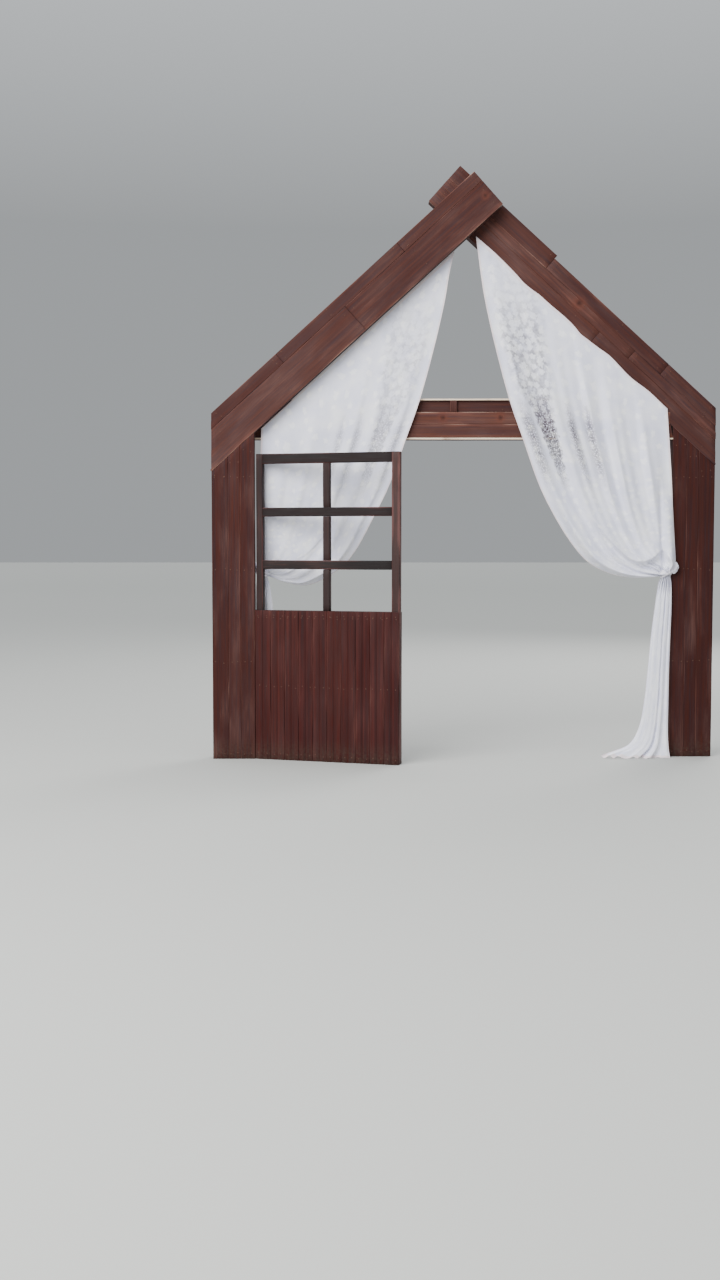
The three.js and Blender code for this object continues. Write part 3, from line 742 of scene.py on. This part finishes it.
def build_tie():
    """The tie beam: two front boards, a recessed board over them with a spacer before it, a top and
    a bottom board whose sawn front edges are bare, and three boards at the back."""
    left = (X, TIE_LEFT)
    floor, ceiling = TIE_BOTTOM + PLATE, TIE_TOP - PLATE
    low, high = TIE_SEAMS
    slant = np.array([0.090, 0, 0.020])  # the lower board's end is 20 mm out of square in 90 mm

    def strip(z0, z1, y, out, ends, seed, **more):
        """A board along the beam, between two heights."""
        start, width = (0, y, (z0 + z1) / 2), z1 - z0 - TIE_SEAM
        return plank(start, X, out, width, BOARD - SLACK, ends, seed, **more)

    ends = (left, (slant, float(slant @ (INNER, 0, floor))))
    lower = strip(
        floor, low, LAP, -Y, ends, 500, relief=weatherboard(0.088), rub=(0.006, 0.016), nails=0.6,
        tone=0.7,
    )
    stained("tie_beam_lower_board", lower)
    middle = strip(
        low, high, LAP, -Y, (left, (X, 1.384)), 501, rub=(0.010, 0.026), raw="high", nails=0.6,
        tone=0.8,
    )
    stained("tie_beam_middle_board", middle)
    recessed = strip(floor, ceiling, LAP + 0.020, -Y, (left, (X, 1.21)), 502, nails=0.6)
    stained("tie_beam_recessed_board", recessed)
    ends = ((Z, high + 0.001), (Z, ceiling - 0.001))
    spacer = plank((-0.0715, LAP, 0), Z, -Y, 0.046, 0.0195, ends, 503, edge=0.003, rub=0.008)
    stained("tie_beam_spacer", spacer)

    # The side that looks to the front is the low one across on top, and the high one underneath.
    for name, z, out, raw, stop, seed in (
        ("top", TIE_TOP, Z, "low", 1.2095, 504),
        ("bottom", TIE_BOTTOM, -Z, "high", INNER, 505),
    ):
        plate = plank(
            (0, LAP + DEPTH / 2, z), X, out, DEPTH - SLACK, PLATE - SLACK, (left, (X, stop)), seed,
            edge=0.0015, raw=raw, rawness=1.35, nails=0.5,
        )
        stained(f"tie_beam_{name}_board", plate)

    # Each back board is two lengths that meet at a distance to the right of the middle.
    planks = []
    for z0, z1, at, stop, seed in (
        (floor, 2.243, 0.42, 1.38, 510),
        (2.243, 2.327, -0.65, 1.30, 512),
        (2.327, ceiling, 0.18, 1.215, 514),
    ):
        lengths = ((left, (X, at - BUTT)), ((X, at + BUTT), (X, stop)))
        planks += [
            strip(z0, z1, LAP + DEPTH, Y, ends, seed + k, nails=0.6)
            for k, ends in enumerate(lengths)
        ]
    stained("tie_beam_back_boards", *planks)


def build_panel():
    """The window frame's members and the boards of its base, laid out along the turned panel."""
    cos, sin = math.cos(PANEL_TURN), math.sin(PANEL_TURN)
    u, v = np.array([cos, -sin, 0]), np.array([sin, cos, 0])
    floor = (Z, 0.0)

    def at(along, deep=0.0, z=0.0):
        """The point that lies so far along the panel, into it and up."""
        return PANEL_CORNER + along * u + deep * v + z * Z

    def cut(along):
        """The plane that cuts the panel square, so far along it."""
        return (u, float(PANEL_CORNER @ u) + along)

    def member(name, *how, **more):
        """One member of the window frame, given as its plank is."""
        board = plank(*how, edge=0.004, **more)
        timber_piece(f"window_{name}_timber", [board], WINDOW, [f"window_{name}"])

    right = PANEL_WIDTH - RIGHT_STILE
    for name, a0, a1, seed, rub, tone in (
        ("left_stile", 0, STILE, 600, 0.006, 0.2),
        ("right_stile", right, PANEL_WIDTH, 601, 0.016, 0.85),
    ):
        ends = (floor, (Z, PANEL_TOP))
        member(name, at((a0 + a1) / 2), Z, -v, a1 - a0, PANEL_DEPTH, ends, seed, rub=rub, tone=tone)
    ends = (cut(STILE + FIT), cut(right - FIT))
    rails = {
        "top_rail": (PANES[2][1], PANEL_TOP),
        "upper_rail": (PANES[1][1], PANES[2][0]),
        "lower_rail": (PANES[0][1], PANES[1][0]),
        "sill": (BASE_TOP - 0.060, BASE_TOP),
    }
    for seed, (name, (z0, z1)) in enumerate(rails.items(), 610):
        # The rails' low tone is partly moss and partly painted shade.
        member(
            name, at(0, 0, (z0 + z1) / 2), u, -v, z1 - z0 - 0.0005, PANEL_DEPTH - 0.002, ends, seed,
            rub=0.007, shift=-0.001, tone=0.05,
        )
    for seed, (name, (z0, z1)) in enumerate(zip(("low", "middle", "high"), PANES), 620):
        member(
            f"mullion_{name}", at(sum(MULLION) / 2), Z, -v, MULLION[1] - MULLION[0],
            PANEL_DEPTH - 0.006, ((Z, z0 + FIT), (Z, z1 - FIT)), seed, rub=0.008, shift=-0.003,
            tone=0.55,
        )

    def to_post(deep):
        """How far the post's inner face lies from the panel's corner, at a depth in the panel."""
        return -INNER + FIT - PANEL_CORNER[0] - deep * sin

    def base(name, *planks):
        """A piece of the panel's base, named as the arch's own boards are."""
        timber_piece(name.replace("board", "plank"), planks, CLADDING, [name])

    # Base boards 99 mm wide with a sunk groove down the middle and a deep V where two meet. The
    # first one starts on the post's inner face.
    groove = [(-0.0045, 0.0), (-0.001, -0.0045), (0.001, -0.0045), (0.0045, 0.0)]
    for name, deep, out, seed in (
        ("base_front_boards", -0.0153, -v, 630),
        ("base_back_boards", PANEL_DEPTH + 0.0153, v, 650),
    ):
        start = to_post(deep) / cos
        edges = PANEL_WIDTH - 0.0992 * np.arange(11)
        edges = np.append(edges[edges > start + 0.02], start)[::-1]
        planks = [
            plank(
                at((a0 + a1) / 2, deep), Z, out, a1 - a0 - BASE_SEAM, BOARD - 0.0004,
                (floor, (Z, BASE_TOP)), seed + k, edge=0.005, rub=0.009, nails=0.46,
                relief=groove if a1 - a0 > 0.06 else (),
            )
            for k, (a0, a1) in enumerate(zip(edges, edges[1:]))
        ]
        base(name, *planks)
    gap = 0.0003  # between the packing strip and the frame
    width = -gap - to_post(0.024) - 0.001
    ends = (floor, (Z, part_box("base_packing_strip")[1].z))
    strip = at(-gap - width / 2, 0.001)
    base(
        "base_packing_strip",
        plank(strip, Z, -v, width, PANEL_DEPTH - 0.002, ends, 670, edge=0.002),
    )


for side in ("left", "right"):
    build_post(side)
    build_rafter(side)
build_tie()
build_panel()

# Drapes

# Free edge of a drape from the peak down to the tie-back: distance from the middle, height. The
# two are alike down to the tie beam. Below it the left one hangs in a lower scallop.
UPPER_EDGE = [
    (0.072, 3.487), (0.106, 3.234), (0.140, 3.036), (0.209, 2.739), (0.300, 2.408), (0.394, 2.142),
    (0.503, 1.841),
]
LEFT_EDGE = UPPER_EDGE + [
    (0.618, 1.607), (0.700, 1.450), (0.755, 1.366), (0.815, 1.296), (0.890, 1.240), (0.970, 1.196),
    (1.050, 1.168), (1.120, 1.168), (1.205, 1.186), (1.275, 1.212), (1.318, 1.2285),
]
RIGHT_EDGE = UPPER_EDGE + [
    (0.624, 1.607), (0.751, 1.419), (0.860, 1.310), (1.005, 1.241), (1.149, 1.219),
    (1.276, 1.221), (1.318, 1.2285),
]
NECK = ((1.334, 1.240), (1.394, 1.262))  # the gathered row under the tie-back: distance, height
TURN_IN = 1.345  # height where the side beside the post starts to turn in to the neck
LIP = (1.185, 1.318)  # lowest point of the slack cloth's lip over the tie-back: distance, height
HEM_ENDS = (0.072, 1.362)  # distances of the hem's ends from the middle
ROLL = 0.0035  # radius of the rolled hem
# The tail: height, inner and outer distance from the middle, sideways shift, half its depth.
TAIL = [
    (1.228, 1.334, 1.394, 0.000, 0.018), (1.169, 1.311, 1.402, 0.000, 0.020),
    (1.000, 1.288, 1.403, 0.000, 0.020), (0.830, 1.268, 1.398, 0.000, 0.020),
    (0.600, 1.248, 1.392, 0.001, 0.021), (0.394, 1.228, 1.390, 0.003, 0.023),
    (0.200, 1.190, 1.388, 0.008, 0.028), (0.080, 1.110, 1.390, 0.024, 0.042),
    (0.000, 0.930, 1.398, 0.042, 0.060),
]
# How far the hem between its tacks lies above (+) or below the straight line: distance, offset.
HEM_WAVES = [
    (0.072, 0.0), (0.207, 0.002), (0.329, -0.009), (0.390, -0.022), (0.450, -0.018),
    (0.500, -0.009), (0.572, -0.009), (0.640, -0.004), (0.700, -0.004), (0.735, -0.010),
    (0.775, -0.022), (0.830, -0.015), (0.897, -0.006), (0.980, 0.006), (1.110, -0.010),
    (1.240, 0.006), (1.362, 0.0),
]
CUT_WIDTH = 0.95  # the flat cloth, from its free side to the side beside the post
COLUMNS, SWAG_ROWS, TAIL_ROWS = 240, 225, 125  # the cloth's grid
# hem: its height over the middle and its fall per metre. hem_y and tie_y: how far behind the lap
# plane the hem and the neck lie. belly: how far the cloth swells forward between them. reach: how
# far from the middle its side beside the post gets. spread: 1 where the tail's foot is swept to the
# back, -1 where to the front. waves: how much of HEM_WAVES it has. pouch: how far the slack cloth
# hangs forward over the tie-back. folds: how much of the folds' depth it has.
DRAPES = {
    "left": {
        "hem": (CREST["left"] - FACE / COS - FIT - 2 * ROLL / COS, SLOPE), "hem_y": -0.020,
        "tie_y": 0.006, "edge": LEFT_EDGE, "belly": 0.006, "reach": 1.392, "spread": 1,
        "waves": 0.0, "pouch": 0.006, "folds": 0.20, "seed": 7,
    },
    "right": {
        "hem": (3.551, 0.8845), "hem_y": -0.0078, "tie_y": -0.022, "edge": RIGHT_EDGE,
        "belly": 0.014, "reach": 1.428, "spread": -1, "waves": 1.0, "pouch": 0.060, "folds": 0.9,
        "seed": 11,
    },
}


def through_points(points, places):
    """A Catmull-Rom curve through the points, read at so many places at equal steps of its length,
    or at the places that are given as shares of its length."""
    p = np.asarray(points, float)
    t = np.linspace(0, len(p) - 1, 60 * len(p))
    i = np.minimum(t.astype(int), len(p) - 2)
    w = (t - i)[:, None]
    p0, p1, p2, p3 = (p[np.clip(i + k, 0, len(p) - 1)] for k in (-1, 0, 1, 2))
    a, b = (p2 - p0) / 2, (p3 - p1) / 2
    line = ((2 * p1 - 2 * p2 + a + b) * w + (3 * p2 - 3 * p1 - 2 * a - b)) * w * w + a * w + p1
    run = np.concatenate([[0], np.cumsum(np.linalg.norm(np.diff(line, axis=0), axis=1))])
    share = places if np.ndim(places) else np.linspace(0, 1, places)
    return np.stack([np.interp(share * run[-1], run, c) for c in line.T], 1)


def smooth(x, low, high):
    """0 on the side of low, 1 on the side of high, and a smooth cubic between."""
    t = np.clip((x - low) / (high - low), 0, 1)
    return t * t * (3 - 2 * t)


def bell(x, middle, reach):
    """A bell curve: 1 at the middle, and 0.37 at its reach to either side."""
    return np.exp(-(((x - middle) / reach) ** 2))


def fold_phase(s, v, count, seed):
    """The phase of count folds across the cloth: proportional to the distance s across, but pushed
    about by two slower waves so that no two folds are alike, and drifting slowly down the cloth."""
    a, b, c = np.random.default_rng(seed).uniform(0, math.tau, 3)
    phase = math.tau * count * s + 1.3 * np.sin(math.tau * 1.3 * s + a + 0.8 * v)
    return phase + 0.8 * np.sin(math.tau * 2.9 * s + b - 0.7 * v) + c


def neck_pleats(side, s):
    """The tight pleats under the tie-back, from -1 to 1 across the cloth."""
    return np.sin(fold_phase(s, 1, 7.5, DRAPES[side]["seed"] + 2))


def placed(side, x, y, z):
    """Points from the distance from the middle, the depth behind the lap plane and the height."""
    return np.stack(np.broadcast_arrays(SIGN[side] * x, LAP + y, z), -1)


def swag_surface(side, s, v):
    """The cloth from the hem to the tie-back, for shares s across it and v down it.

    Rows run straight from the free edge to the side beside the post, and gather into the slanting
    row under the tie-back. Depth is the plane of the hem, pushed forward by a belly, minus rounded
    folds that grow from the tight hem down and become pleats at the tie-back. The surplus cloth
    hangs over the tie-back as a bag with a U-shaped lip, and the free edge curls back under the
    swag's lowest fold."""
    drape = DRAPES[side]
    hem = [(x, drape["hem"][0] - drape["hem"][1] * x) for x in HEM_ENDS]
    free = through_points([hem[0], *drape["edge"][1:], NECK[0]], v[:, 0])
    # The side beside the post runs straight down and turns in to the neck over the last 80 mm.
    neck_x, neck_z = NECK[1]
    fixed_z = hem[1][1] * (1 - v) + neck_z * v
    fixed_x = np.interp(-fixed_z, [-hem[1][1], -TURN_IN], [hem[1][0], drape["reach"]])
    fixed_x = fixed_x - (drape["reach"] - neck_x) * smooth(fixed_z, TURN_IN, neck_z) ** 1.5
    x = free[:, :1] * (1 - s) + fixed_x * s
    z = free[:, 1:] * (1 - s) + fixed_z * s
    wave = np.interp(x, *through_points(HEM_WAVES, 200).T)
    z = z + drape["waves"] * wave * (1 - smooth(v, 0, 0.16))
    inward = fixed_x - x

    settle = smooth(v, 0.5, 1)
    sag = np.sin(math.pi / 2 * np.minimum(1, v / 0.55)) * (1 - settle)
    plane = drape["hem_y"] * (1 - settle) + drape["tie_y"] * settle - drape["belly"] * sag
    gather = smooth(v, 0.90, 1)

    # The bag over the tie-back: the folds die out in the slack cloth above its lip.
    lip_z = LIP[1] + 1.75 * np.clip(np.abs(x - LIP[0]) - 0.02, 0, None) ** 1.5
    above = z - lip_z
    near = smooth(x, 0.82, 0.98)
    lip = smooth(above, -0.014, 0.014) * np.exp(-np.clip(above, 0, None) / 0.15)
    lip = lip - 0.22 * bell(above, -0.040, 0.026)
    bag = drape["pouch"] * lip * near * (1 - smooth(v, 0.92, 1)) * smooth(inward, 0.045, 0.16)
    slack = near * smooth(above, -0.12, 0.02) * (1 - smooth(above, 0.10, 0.55))

    # Broad folds up to 55 mm deep, with ripples up to 9 mm deep on them.
    phase = fold_phase(s, v, 5.2, drape["seed"])
    broad = (0.5 + 0.5 * np.sin(phase + 0.5 * np.sin(phase))) ** 1.3
    ripple = 0.5 + 0.5 * np.sin(fold_phase(s, v, 11, drape["seed"] + 1))
    loose = smooth(v, 0.0, 0.45)
    folds = (0.003 + 0.052 * loose) * broad * (1 - 0.75 * slack)
    folds = folds + (0.001 + 0.008 * loose) * ripple * (1 - 0.6 * slack)
    folds = folds * (1 - 0.5 * gather) * drape["folds"]
    pleats = 0.012 * gather**2 * (neck_pleats(side, s) + 0.1)
    curl = 0.040 * np.clip(1 - s / 0.13, 0, 1) ** 2 * smooth(v, 0.58, 0.85) * (1 - gather**2)

    # The cloth's edge beside the post hangs as a soft roll 75 mm wide above the tie-back, with a
    # crease beside it.
    roll = 0.55 * np.sin(math.pi * np.clip(inward / 0.075, 0, 1)) ** 0.8
    roll = roll - 0.30 * bell(inward, 0.088, 0.013)
    roll = roll * smooth(z, 1.95, 1.50) * smooth(z, 1.24, 1.30) * drape["pouch"]
    y = plane - folds - pleats - bag - roll + curl
    if side == "right":
        # It doesn't run into the post behind it.
        y = np.where(x > INNER - 0.004, np.minimum(y, drape["hem_y"]), y)
    return placed(side, x, y, z)


def rolled_hem(side, edge):
    """The hem's roll over the swag's first row: from the back of the cloth up, over the top and
    down onto its front."""
    turn = np.radians([285, 250, 215, 180, 145, 110, 75, 40])[:, None, None]
    slope = math.atan(DRAPES[side]["hem"][1])
    upward = np.array([SIGN[side] * math.sin(slope), 0, math.cos(slope)])
    return edge + ROLL * np.sin(turn) * upward + ROLL * (1 - np.cos(turn)) * Y


def tail_surface(side, s):
    """The cloth below the tie-back, for shares s across it. Its rows fill the widths of the TAIL
    table, and its pleats merge into a few broad folds with deep, narrow valleys. At the ground it
    is swept to the back or the front, and crumples up to 22 mm high."""
    drape = DRAPES[side]
    table = through_points(TAIL, TAIL_ROWS + 1)[1:]
    height, inner, outer, shift, half = (c[:, None] for c in table.T)
    w = np.linspace(0, 1, TAIL_ROWS)[:, None]
    envelope = half * np.sqrt(np.clip(1 - (2 * s - 1) ** 2, 0.05, 1))
    valley = (0.5 + 0.5 * np.cos(fold_phase(s, 1 + 1.5 * w, 2.6, drape["seed"] + 3))) ** 4
    pleat = neck_pleats(side, s)
    merge = smooth(w, 0.0, 0.12)
    form = (1 - merge) * pleat + merge * (0.75 * valley - 0.8 + 0.03 * pleat)
    y = drape["tie_y"] + drape["spread"] * shift + envelope * 0.95 * form
    crumple = np.sin(fold_phase(s, 3 * w, 7, drape["seed"] + 4))
    z = height + 0.0015 + smooth(height, 0.09, 0.0) * 0.011 * (1 + crumple) * (1 - s)
    return placed(side, inner * (1 - s) + outer * s, y, z)


def cloth_piece(name, points, uv, hem, material, nodes, around=False):
    """A smooth mesh from a grid of points, with a UV map named cloth in metres of flat cloth and
    the amount of hem at each point. around closes the grid in both directions."""
    rows, columns = points.shape[:2]
    index = np.arange(rows * columns).reshape(rows, columns)
    down, right = np.roll(index, -1, 0), np.roll(index, -1, 1)
    quads = np.stack([index, down, np.roll(down, -1, 1), right], -1)
    quads = (quads if around else quads[:-1, :-1]).reshape(-1, 4)
    hem = {"hem": np.broadcast_to(hem, points.shape[:2]).ravel()}
    piece = add_piece(name, points.reshape(-1, 3), [quads], [0], [material], hem, nodes)
    layer = piece.data.uv_layers.new(name="cloth")
    layer.data.foreach_set("uv", uv.reshape(-1, 2)[quads.ravel()].ravel().astype(np.float32))
    return piece


def cloth_map(points, knot_row):
    """The cloth's own coordinates in metres: across from the free side, as along the hem, and down.

    Near the hem, down is the drop below the peak's level plus the length of cloth from the hem, so
    that the weave hangs square. It turns smoothly into the length of cloth from the tie-back, where
    it is 0, because there all the threads run together."""
    length = np.linalg.norm(np.diff(points, axis=0), axis=2)
    length = np.concatenate([np.zeros((1, length.shape[1])), np.cumsum(length, 0)])
    from_knot = length - length[knot_row]
    from_peak = length + points[0, 0, 2] - points[0, :, 2] + from_knot[0, 0]
    gathered = smooth(np.arange(len(points))[:, None] / knot_row, 0.35, 0.9)
    down = from_peak * (1 - gathered) + from_knot * gathered
    across = np.linspace(0, HEM_ENDS[1] - HEM_ENDS[0], points.shape[1])
    return np.stack([np.broadcast_to(across, down.shape), down], -1)


def build_cloth(side):
    """One drape, the whole cloth as one grid of points from hem to hem."""
    s = np.linspace(0, 1, COLUMNS)[None, :]
    v = 1 - (1 - np.linspace(0, 1, SWAG_ROWS)[:, None]) ** 1.35
    swag = swag_surface(side, s, v)
    roll = rolled_hem(side, swag[:1])
    points = np.concatenate([roll, swag, tail_surface(side, s)])
    hem = np.zeros(points.shape[:2])
    hem[: len(roll) + 2] = 1
    hem[-4:] = 1
    hem = np.maximum(hem, 1 - smooth(np.minimum(s, 1 - s) * CUT_WIDTH, 0.006, 0.012))
    uv = cloth_map(points, len(roll) + SWAG_ROWS)
    if side == "left":
        points, hem, uv = points[:, ::-1], hem[:, ::-1], uv[:, ::-1]
    nodes = [f"{side}_drape_swag", f"{side}_drape_tail"]
    return cloth_piece(f"{side}_drape_cloth", points, uv, hem, LACE[side], nodes)


def wound_cloth(side, name, centre, second, path, section, climb):
    """A strip of the same cloth wound into a ring: an oval section, given as half its thickness and
    half its height, carried round an oval path in the plane of X and the second direction. climb
    is how much higher the ring sits per metre outwards. Creases up to half as deep as the section
    is thick run round it, and cross each other as they go."""
    around = np.linspace(0, math.tau, 120, endpoint=False)[:, None]
    about = np.linspace(0, math.tau, 40, endpoint=False)[None, :]
    crease = np.sin(4 * about + 2 * around + 0.9 * np.sin(3 * around))
    crease = (crease + 0.6 * np.sin(7 * about - 3 * around + 1)) * section[0] * 0.32
    swell = section[0] * np.cos(about) + crease * smooth(np.cos(about), -0.5, 0.3)
    tall = section[1] * (1 + 0.14 * np.sin(2 * around + 1)) * np.sin(about)
    out = (path[0] + swell) * np.cos(around)
    points = (
        np.array([SIGN[side] * centre[0], LAP + centre[1], centre[2]])
        + out[..., None] * (SIGN[side] * X + climb * Z)
        + ((path[1] + swell) * np.sin(around))[..., None] * second
        + tall[..., None] * np.cross(X, second)
    )
    if side == "left":
        points = points[::-1]
    uv = np.stack(np.broadcast_arrays(around * path[0], about * section[1]), -1)
    hem = 0.3  # a little of the hem's look, because the net is in layers here
    name, nodes = f"{side}_drape_{name}", [f"{side}_drape_tieback"]
    return cloth_piece(name, points, uv, hem, GATHERED_LACE, nodes, around=True)


def build_tie_back(side):
    """The band round the neck of the drape, tilted with it, and the knot that ends it beside the
    post: over the right post's front face, and behind the left post's back face."""
    band, knot = (1.362, DRAPES[side]["tie_y"], 1.253), (1.415, -0.030 * SIGN[side], 1.287)
    return [
        wound_cloth(side, "tie_band", band, Y, (0.034, 0.027), (0.007, 0.024), 0.3),
        wound_cloth(side, "tie_knot", knot, -Z, (0.0120, 0.0180), (0.0160, 0.018), 0.2),
    ]


for side in ("left", "right"):
    drape = build_cloth(side)
    ties = build_tie_back(side)
